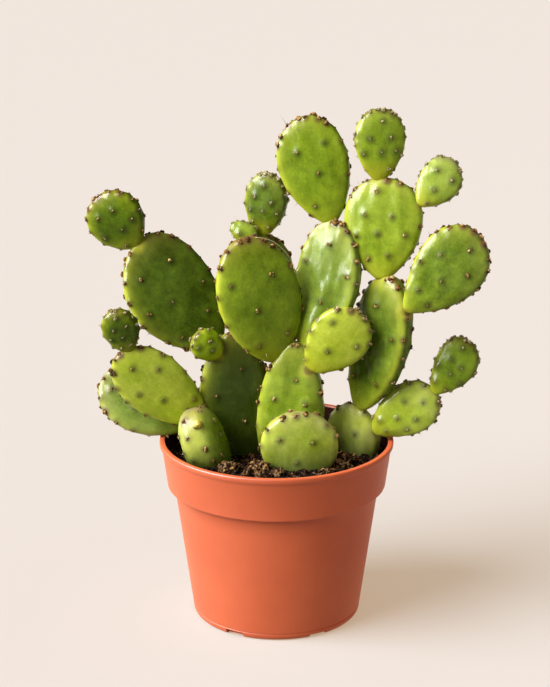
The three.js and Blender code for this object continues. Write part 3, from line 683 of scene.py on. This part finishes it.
hornyBristle = makeHorn()
areoleTufts = newObject("areole_tufts", areoles["foot"], [])
store(areoleTufts, {name: areoles[name] for name in ("size", "tone", "young", "rim", "facing")})
grow(areoleTufts, makeTuftTree(makeFelt(), hornyBristle), tuft)
finish(areoleTufts)
print("areole tufts:", len(areoleTufts.data.polygons), "faces")

# The few long spines, and a dry hair that lies over a pad's rim. rim and front are degrees round the
# rim from the tip and towards the front face, and aim is the way that a spine points.
longSpines = [
    dict(on="crown_large", rim=-24, front=5, aim=(-0.5, -0.1, 0.85), length=7.6, radius=0.17),
    dict(on="right_upper", rim=-38, front=10, aim=(-0.75, -0.2, 0.65), length=3.4, radius=0.13),
    dict(on="right_upper", rim=-34, front=0, aim=(-0.3, -0.2, 0.9), length=2.6, radius=0.11),
    dict(on="middle_large", rim=-158, front=20, aim=(-0.8, -0.5, -0.35), length=3.2, radius=0.12),
    dict(on="middle_large", rim=-162, front=35, aim=(0.2, -0.6, -0.8), length=2.6, radius=0.11),
    dict(on="right_low", rim=62, front=5, aim=(1.0, -0.2, 0.05), length=3.6, radius=0.1),
    dict(on="left_large", rim=-100, front=10, aim=(-0.9, -0.3, 0.3), length=3.0, radius=0.1),
    dict(on="left_top", rim=-95, front=0, aim=(-0.9, -0.2, -0.5), length=2.4, radius=0.1)]
dryHair = dict(on="middle_large", start=16, end=76, front=10, lift=0.6, sag=1.5, radius=0.17, steps=24)
strandForm = dict(footLift=0.3, spineSteps=5, spineSides=6, spineTaper=0.85, hairSides=5, hairTaper=0.5,
                  young=0.9)


def onPadRim(pad, degrees, front, lift):  # a place in the plant on or above a pad's rim
    way = rimWay(degrees, front)
    return moved(padPlace(pad), padPoints(pad, way) + way * lift)[0]


def strand(path, radii, sides):  # a thin closed tube along a path
    path = np.asarray(path, float)
    points, faces = [path[0]], []
    for centre, direction, radius in zip(path, np.gradient(path, axis=0), radii):
        axis = Vector(direction).normalized()
        across = axis.cross(Vector((0.3, 1, 0.2))).normalized()
        beside = axis.cross(across)
        for i in range(sides):
            turn = 2 * math.pi * i / sides
            points.append(centre + radius * np.array(math.cos(turn) * across + math.sin(turn) * beside))
    points.append(path[-1])
    last = len(points) - 1
    for i in range(sides):
        j = (i + 1) % sides
        faces.append((0, 1 + j, 1 + i))
        for ring in range(len(path) - 1):
            low, high = 1 + ring * sides, 1 + (ring + 1) * sides
            faces += [(low + i, low + j, high + j), (low + i, high + j, high + i)]
        faces.append((last - sides + i, last - sides + j, last))
    return points, faces


def makeStrays():
    form, hair = strandForm, dryHair
    strands = []
    for spine in longSpines:
        lift = areoleForm["moundHeight"] * form["footLift"]
        foot = onPadRim(pads[spine["on"]], spine["rim"], spine["front"], lift)
        tip = foot + spine["length"] * np.array(Vector(spine["aim"]).normalized())
        steps = np.linspace(0, 1, form["spineSteps"])
        radii = spine["radius"] * (1 - form["spineTaper"] * steps)
        strands.append(strand(foot + (tip - foot) * steps[:, None], radii, form["spineSides"]))
    steps = np.linspace(0, 1, hair["steps"])
    path = [onPadRim(pads[hair["on"]], hair["start"] + (hair["end"] - hair["start"]) * s, hair["front"],
                     hair["lift"] + hair["sag"] * math.sin(math.pi * s)) for s in steps]
    strands.append(strand(path, hair["radius"] * (1 - form["hairTaper"] * steps), form["hairSides"]))
    points, faces = merged(strands)
    thing = newObject("long_spines", np.array(points) * mm, faces, [hornyBristle])
    store(thing, {"young": np.full(len(points), form["young"])})
    return thing


finish(makeStrays())

# The bud: a small yellow fruit of one of the front pad's areoles.
bud = dict(on="front_left", place=(-36, 8), aim=(-4, 62, 0), size=(6.5, 4.2, 4), egg=0, bend=(0, 0, 0),
           lump=0.05, lumpScale=1.2)


# A young bud's skin: thin, waxy and yellow, a little greener at its foot.
def makeBud():
    material, add = newMaterial("youngBudSkin", {
        "Roughness": 0.4, "Subsurface Weight": 0.2, "Subsurface Radius": (1.0, 0.8, 0.2),
        "Subsurface Scale": 1.5 * mm})
    along = add("ShaderNodeAttribute", out="Fac", attribute_name="along")
    dress(material, add("ShaderNodeValToRGB", [along], stops=[
        (0.0, "#8d7a24"), (0.4, "#d9c23c"), (1.0, "#f0dc6a")]))
    ways, faces = ball(4)
    points = padPoints(bud, ways)
    lumps = np.array([noise.noise(Vector(p) / bud["lumpScale"]) for p in points])
    points = points * (1 + bud["lump"] * lumps)[:, None]
    thing = newObject("yellow_bud_skin", moved(padPlace(bud), points) * mm, faces, [material])
    store(thing, {"along": (ways[:, 2] + 1) / 2})
    return thing


finish(makeBud(), "yellow_bud")

# The pot: radii and heights of the moulding, with a fine groove above its foot. The steps are small
# offsets of the outline, outwards and up, or at the mouth outwards and down.
pot = dict(
    height=94, rimRadius=60, lipHeight=2.4, lipRound=0.7, bandTopRadius=58.8, bandBottomRadius=56.2,
    ledge=70, ledgeRound=0.9, bodyTopRadius=52.7, footRadius=43.4, footInset=2.4, footRise=3.2, baseRing=3,
    wall=1.5, floorThickness=1.8, floorChamfer=2, segments=192, grooveHeight=3.6, grooveDepth=0.35,
    grooveBottom=0.1, bodyRows=(6, 20, 40, 60), underLedge=0.6, ledgeSteps=(0.35, 0.9),
    lipSteps=((-0.1, -2.0), (0.15, -1.4)), lipEdge=0.3, mouthSteps=((0.5, 0), (0.15, 0.15), (0, 0.5)),
    wallDrops=(3.0, 5.0), corner=0.3, notchCount=6, notchWidth=10, notchHeights=(1.8, 3.0), notchDepth=4,
    cleanEdge=0.9, draft=0.11, sharpAngle=40)
insideWall = [
    (pot["footRadius"] - pot["wall"] - pot["floorChamfer"], pot["floorThickness"]),
    (pot["footRadius"] - pot["wall"], pot["floorThickness"] + pot["floorChamfer"]),
    (pot["bodyTopRadius"] - pot["wall"], pot["ledge"] + pot["wall"]),
    (pot["bandBottomRadius"] - pot["wall"], pot["ledge"] + pot["wall"])]


# Injection-moulded polypropylene: satin, with a fine eggshell grain of half a millimetre and a slight
# unevenness of colour. Inside, above the soil, the same plastic is near black and dull: partly soil dust,
# partly painted shade of the inner wall.
def makePlastics():
    made = []
    for name, settings, stops, noises, strength in (
            ("mouldedTerracottaPlastic",
             {"Roughness": 0.48, "IOR": 1.49, "Specular IOR Level": 0.32, "Diffuse Roughness": 0.7},
             [(0.3, "#d16137"), (0.7, "#db6b3f")], ((30.0, 3.0), (1800.0, 1.0)), 0.12),
            ("stainedAndShadedPlastic", {"Roughness": 0.9, "Specular IOR Level": 0.03},
             [(0.3, "#140704"), (0.7, "#34120a")], ((90.0, 4.0), (90.0, 4.0)), 0.3)):
        material, add = newMaterial(name, settings)
        where = add("ShaderNodeTexCoord", out="Object")
        cloud, grain = [add("ShaderNodeTexNoise", {"Vector": where, "Scale": scale, "Detail": detail})
                        for scale, detail in noises]
        colour = add("ShaderNodeValToRGB", [cloud], stops=stops)
        made.append(dress(material, colour, height=grain, strength=strength, depth=0.2))
    return made


def lathe(outline, segments):  # a closed ring of points turned about the pot's axis
    angles = np.arange(segments) * 2 * math.pi / segments
    points, faces = [], []
    for radius, height in outline:
        points += [(radius * math.cos(a), radius * math.sin(a), height) for a in angles]
    for row in range(len(outline) - 1):
        low, high = row * segments, (row + 1) * segments
        for i in range(segments):
            j = (i + 1) % segments
            faces.append((low + i, low + j, high + j, high + i))
    return np.array(points), faces


def arc(radius, height, across, up, first, last, count):  # points of a rounded edge
    angles = [math.radians(a) for a in np.linspace(first, last, count)]
    return [(radius + across * math.cos(a), height + up * math.sin(a)) for a in angles]


def onBody(height):  # the radius of the tapered body
    slope = (pot["bodyTopRadius"] - pot["footRadius"]) / (pot["ledge"] - pot["footRise"])
    return pot["footRadius"] + slope * (height - pot["footRise"])


def makePot():
    form = pot
    height, ledge, inset, rise = form["height"], form["ledge"], form["footInset"], form["footRise"]
    lipUnder, lip, groove = height - form["lipHeight"], form["lipRound"], form["grooveHeight"]
    deep, bottom, bodyTop = form["grooveDepth"], form["grooveBottom"], form["bodyTopRadius"]
    rim, bandTop, edge = form["rimRadius"], form["bandTopRadius"], form["ledgeRound"]
    inner = bandTop - form["wall"]
    outline = [
        (nearAxis, 0), (form["footRadius"] - inset - form["baseRing"], 0),
        *arc(form["footRadius"] - inset, rise, inset, rise, -90, 0, 7),
        (onBody(groove - deep), groove - deep), (onBody(groove) - deep, groove - bottom),
        (onBody(groove) - deep, groove + bottom), (onBody(groove + deep), groove + deep),
        *[(onBody(h), h) for h in (*form["bodyRows"], ledge - form["underLedge"])],
        *[(bodyTop + step, ledge) for step in form["ledgeSteps"]],
        *arc(form["bandBottomRadius"] - edge, ledge + edge, edge, edge, -90, 0, 7),
        *[(bandTop + out, lipUnder + up) for out, up in form["lipSteps"]],
        (rim - form["lipEdge"], lipUnder - form["lipEdge"]), (rim, lipUnder + form["lipEdge"]),
        *arc(rim - lip, height - lip, lip, lip, 0, 90, 5),
        *[(inner + out, height - drop) for out, drop in form["mouthSteps"]],
        *[(inner - form["draft"] * drop, height - drop)
          for drop in (form["cleanEdge"], *form["wallDrops"])],
        (insideWall[3][0], insideWall[3][1] + form["corner"]),
        (insideWall[3][0] - form["corner"], insideWall[3][1]),
        *insideWall[2::-1], (nearAxis, form["floorThickness"])]
    points, faces = lathe(outline, form["segments"])
    thing = newObject("pot_moulding", points * mm, faces)
    weld(thing, 0.02)

    notches = bmesh.new()
    for i in range(form["notchCount"]):
        turn = Matrix.Rotation((i + 0.5) / form["notchCount"] * 2 * math.pi, 4, "Z")
        sides = (form["notchWidth"], form["notchDepth"] * 2, form["notchHeights"][i % 2] * 2)
        block = Matrix.Translation((0, -form["footRadius"] * mm, 0)) @ Matrix.Diagonal(
            [side * mm for side in sides] + [1])
        bmesh.ops.create_cube(notches, size=1, matrix=turn @ block)
    cutter = hold("notches", meshOf("notches", notches))
    cut = thing.modifiers.new("notches", "BOOLEAN")
    cut.object = cutter
    cut.solver = "EXACT"
    baked(thing)
    bpy.data.objects.remove(cutter)
    thing.data.materials.clear()
    for material in makePlastics():
        thing.data.materials.append(material)
    for face in thing.data.polygons:
        spot, normal = face.center / mm, face.normal
        # The inner wall above the soil takes the near-black plastic, partly soil stain and partly painted
        # shade.
        facesIn = normal.x * spot.x + normal.y * spot.y < -1
        if facesIn and ledge < spot.z < height - form["cleanEdge"]:
            face.material_index = 1
    thing.data.set_sharp_from_angle(angle=math.radians(form["sharpAngle"]))
    return thing


finish(makePot(), "pot")
print("pot done")

# The soil: a plug of peat and bark that fits the pot, its top uneven, with loose crumbs and clods.
soil = dict(
    level=85.5, slope=0.03, lump=0.66, edge=55.0, gap=0.3, rings=70, segments=220, shoulder=2,
    broadLump=(0.31, 0.37), narrowLump=(0.83, 0.71), coarse=1.5, coarseScale=7.0, coarseLayer=3,
    octaves=(1, 2, 3), fine=0.55, fineScale=2.4, fineLayer=9)
crumbs = dict(density=430000.0, smallest=0.3 * mm, largest=1.6 * mm, smallShare=3.0, hueSpread=0.8,
              clodPaleness=0.36, seed=3)
crumbSheet = dict(reach=54, points=109, margin=1)
clodForm = dict(broad=0.45, broadScale=1.6, fine=0.24, fineScale=4.5, apart=(5.1, 3.3),
                squash=(1.0, 0.85, 0.8), lift=0.3)
clods = [  # x, y, radius of the clods of bark and loam that lie on top
    (-24, -29, 5.0), (-8.5, -32, 5.4), (0.5, -35, 3.2), (33, -19, 5.8), (39, -12, 3.6), (-41, -16, 3.2),
    (24, -31, 2.6), (45, 4, 2.8), (-14, -34, 2.4), (-2, 36, 4.2), (26, 36, 3.6), (-30, 30, 4.4)]


# Damp peat and bark: quite matt, near black in its hollows, with brown and straw-coloured grains.
def makeEarth():
    material, add = newMaterial("dampPeatAndBark", {"Roughness": 0.92, "Specular IOR Level": 0.04})
    where = add("ShaderNodeTexCoord", out="Object")
    grains = add("ShaderNodeTexVoronoi", {"Vector": where, "Scale": 900.0}, out="Color")
    drawn = add("ShaderNodeSeparateColor", [grains])
    onClod = add("ShaderNodeAttribute", out="Fac", attribute_name="clod")
    hue = add("ShaderNodeMath", [onClod, 0.3, drawn], operation="MULTIPLY_ADD")
    colour = add("ShaderNodeValToRGB", [hue], stops=[
        (0.0, "#0c0603"), (0.45, "#1a0f08"), (0.75, "#2e1d11"), (0.92, "#5c4029"), (1.0, "#8a6c48")])
    rough = add("ShaderNodeTexNoise", {"Vector": where, "Scale": 1100.0, "Detail": 3.0})
    return dress(material, colour, height=rough, strength=0.8, depth=0.5)


# Loose grains: bark, fibre and a few bits of perlite, each of one colour.
def makeGrains():
    material, add = newMaterial("barkAndPerliteGrains", {"Roughness": 0.88, "Specular IOR Level": 0.04})
    where = add("ShaderNodeTexCoord", out="Object")
    hue = add("ShaderNodeAttribute", out="Fac", attribute_name="hue")
    spots = add("ShaderNodeTexNoise", {"Vector": where, "Scale": 1500.0, "Detail": 2.0})
    spotted = add("ShaderNodeMath", [spots, 0.3, -0.15], operation="MULTIPLY_ADD")
    spotted = add("ShaderNodeMath", [hue, spotted], operation="ADD")
    colour = add("ShaderNodeValToRGB", [spotted], stops=[
        (0.0, "#0d0603"), (0.45, "#1c0f07"), (0.7, "#3e2411"), (0.88, "#6f4a28"), (1.0, "#a8824f")])
    return dress(material, colour, height=spots, strength=0.6, depth=0.3)


def soilHeight(x, y):
    (broadX, broadY), (narrowX, narrowY) = soil["broadLump"], soil["narrowLump"]
    lumps = math.cos(broadX * x) * math.cos(broadY * y) + math.sin(narrowX * x + narrowY * y)
    coarse = noise.fractal(Vector((x, y, soil["coarseLayer"])) / soil["coarseScale"], *soil["octaves"])
    fine = noise.noise(Vector((x, y, soil["fineLayer"])) / soil["fineScale"])
    return (soil["level"] - soil["slope"] * y + soil["lump"] * lumps
            + soil["coarse"] * coarse + soil["fine"] * fine)


def makeSoil(earth):
    form = soil
    outline = [(nearAxis, pot["floorThickness"] + form["gap"])]
    outline += [(radius - form["gap"], height + form["gap"]) for radius, height in insideWall]
    outline += [(form["edge"], form["level"] - form["shoulder"])]
    sides = len(outline) * form["segments"]
    shares = [1 - ring / form["rings"] for ring in range(form["rings"] + 1)]
    outline += [(form["edge"] * share + nearAxis, form["level"]) for share in shares]
    points, faces = lathe(outline, form["segments"])
    for point in points[sides:]:
        point[2] = soilHeight(point[0], point[1])
    thing = newObject("soil_plug", points * mm, faces, [earth])
    weld(thing, 0.01)
    return thing


# Geometry Nodes: crumbs of many sizes scattered over the soil's top and over the clods.
def makeCrumbTree(grains):
    tree, add, given = newTree("soilCrumbs", crumbs)
    seeds = {step: add("ShaderNodeMath", [given["seed"], float(step)], operation="ADD")
             for step in (1, 2, 3, 4)}
    scattered = add("GeometryNodeDistributePointsOnFaces", {
        "Mesh": given["Geometry"], "Density": given["density"], "Seed": given["seed"]})
    turn, shape = [
        add("FunctionNodeRandomValue", {0: low, 1: high, "Seed": seeds[step]}, data_type="FLOAT_VECTOR")
        for low, high, step in (((0, 0, 0), (6.28, 6.28, 6.28), 1), ((0.6, 0.6, 0.5), (1.4, 1.0, 0.9), 3))]
    sizeDrawn, hueDrawn = [
        add("FunctionNodeRandomValue", {"Seed": seeds[step]}, out=1) for step in (2, 4)]
    share = add("ShaderNodeMath", [sizeDrawn, given["smallShare"]], operation="POWER")
    size = add("ShaderNodeMapRange", {
        "Value": share, "To Min": given["smallest"], "To Max": given["largest"]})
    strewn = add("GeometryNodeInstanceOnPoints", {
        "Points": scattered, "Instance": lumpyBall(add, noiseScale=1.7, gain=1.6, least=0.2),
        "Rotation": turn, "Scale": add("ShaderNodeVectorMath", {0: shape, "Scale": size}, operation="SCALE")})
    onClod = add("GeometryNodeInputNamedAttribute", {"Name": "clod"}, data_type="FLOAT")
    paler = add("ShaderNodeMath", [onClod, given["clodPaleness"]], operation="MULTIPLY")
    hue = add("ShaderNodeMath", [hueDrawn, given["hueSpread"], paler], operation="MULTIPLY_ADD")
    add("NodeGroupOutput", [realised(add, strewn, grains, hue)], out=None)
    return tree


def clodShape(x, y, radius, index):
    form = clodForm
    broadApart, fineApart = form["apart"]
    ways, faces = ball(4)
    swell = [
        1 + form["broad"] * noise.noise(Vector(w) * form["broadScale"] + Vector((index * broadApart, 0, 0)))
        + form["fine"] * noise.noise(Vector(w) * form["fineScale"] + Vector((0, index * fineApart, 0)))
        for w in ways]
    points = ways * np.array(swell)[:, None] * radius * np.array(form["squash"])
    return points + np.array([x, y, soilHeight(x, y) + form["lift"] * radius]), faces


def makeClods(earth):
    points, faces = merged([clodShape(*clod, index) for index, clod in enumerate(clods)])
    lumps = newObject("soil_clods", np.array(points) * mm, faces, [earth])
    store(lumps, {"clod": np.ones(len(points))})
    return lumps, (points, faces)


# The crumbs lie on a sheet with the soil's and the clods' tops, which only carries them.
def makeCrumbs(lumps):
    count = crumbSheet["points"]
    grid = np.linspace(-crumbSheet["reach"], crumbSheet["reach"], count)
    points, faces, clear = [], [], []
    for y in grid:
        for x in grid:
            points.append((x, y, soilHeight(x, y)))
            above = np.array([[x, y, soil["level"] + 1]])
            inPads = any(insidePad(pads[name], above, 0)[0] for name in rooted)
            clear.append(math.hypot(x, y) < soil["edge"] - crumbSheet["margin"] and not inPads)
    for row in range(count - 1):
        for column in range(count - 1):
            first = row * count + column
            corners = (first, first + 1, first + count + 1, first + count)
            if all(clear[c] for c in corners):
                faces += [corners[:3], (corners[0], *corners[2:])]
    start = len(points)
    points, faces = merged([(points, faces), lumps])
    strewn = newObject("soil_crumbs", np.array(points) * mm, faces)
    store(strewn, {"clod": np.arange(len(points)) >= start})
    return grow(strewn, makeCrumbTree(makeGrains()), crumbs)


dampEarth = makeEarth()
finish(makeSoil(dampEarth), "soil")
clodLumps, clodShapes = makeClods(dampEarth)
finish(clodLumps)
soilCrumbs = makeCrumbs(clodShapes)
finish(soilCrumbs)
print("soil done:", len(soilCrumbs.data.polygons), "crumb faces")

# The stage: a plain pale floor, soft light from the left and a camera at the photograph's angle.
# The floor glows a little, as in a white room, so that the shadows on it stay light. The key is a
# broad far window, so its light is even over the whole floor.
stage = dict(floorRadius=6.0, floorColour="#989ea8", floorGlow="#b49c7e", glowStrength=0.95,
             worldColour="#fbf6f0", worldStrength=0.34, lookAt=(0, 0, 0.13))
key = dict(azimuth=-67, elevation=37, strength=6.0, spread=50, colour="#faf9f5")
softboxes = {
    "leftWindow": dict(place=(-1.1, -0.35, 0.75), size=1.0, watts=175, colour="#ffffff", gives="gloss"),
    "rearWindow": dict(place=(-1.3, 0.9, 0.6), size=1.0, watts=15, colour="#ffffff", gives="gloss"),
    "rightWall": dict(place=(1.3, 0.15, 0.1), size=1.0, watts=6.8, colour="#f6cfae", gives="glow"),
}
view = dict(place=(-0.8, -1000, 458), pitch=17.4, focal=2070, frameHeight=687, sensor=36, near=0.05, far=50)


def makeStage():
    plate = bmesh.new()
    bmesh.ops.create_circle(plate, cap_ends=True, segments=96, radius=stage["floorRadius"])
    floor = hold("floor", meshOf("floor", plate))
    floor.data.materials.append(newMaterial("smoothPaleFloor", {
        "Base Color": linear(stage["floorColour"]), "Roughness": 0.9, "Specular IOR Level": 0.0,
        "Emission Color": linear(stage["floorGlow"]), "Emission Strength": stage["glowStrength"]})[0])
    floor.visible_diffuse = False

    world = bpy.data.worlds.new("softRoom")
    world.use_nodes = True
    background = world.node_tree.nodes["Background"]
    background.inputs["Color"].default_value = linear(stage["worldColour"])
    background.inputs["Strength"].default_value = stage["worldStrength"]
    world.cycles_visibility.glossy = False
    bpy.context.scene.world = world

    window = bpy.data.lights.new("keyWindow", "SUN")
    window.energy = key["strength"]
    window.angle = math.radians(key["spread"])
    window.color = linear(key["colour"])[:3]
    hold("keyWindow", window, turn=(math.radians(90 - key["elevation"]), 0, math.radians(key["azimuth"])))
    for name, given in softboxes.items():
        lamp = bpy.data.lights.new(name, "AREA")
        lamp.shape = "SQUARE"
        lamp.size = given["size"]
        lamp.energy = given["watts"]
        lamp.color = linear(given["colour"])[:3]
        facing = Vector(stage["lookAt"]) - Vector(given["place"])
        holder = hold(name, lamp, given["place"], facing.to_track_quat("-Z", "Y").to_euler())
        holder.visible_diffuse = given["gives"] == "glow"
        holder.visible_glossy = given["gives"] == "gloss"

    eye = bpy.data.cameras.new("eye")
    eye.sensor_width = view["sensor"]
    eye.lens = view["focal"] * view["sensor"] / view["frameHeight"]
    eye.clip_start = view["near"]
    eye.clip_end = view["far"]
    tilt = (math.radians(90 - view["pitch"]), 0, 0)
    bpy.context.scene.camera = hold("eye", eye, Vector(view["place"]) * mm, tilt)
    bpy.context.scene.view_settings.view_transform = "Standard"


makeStage()
print("stage done")
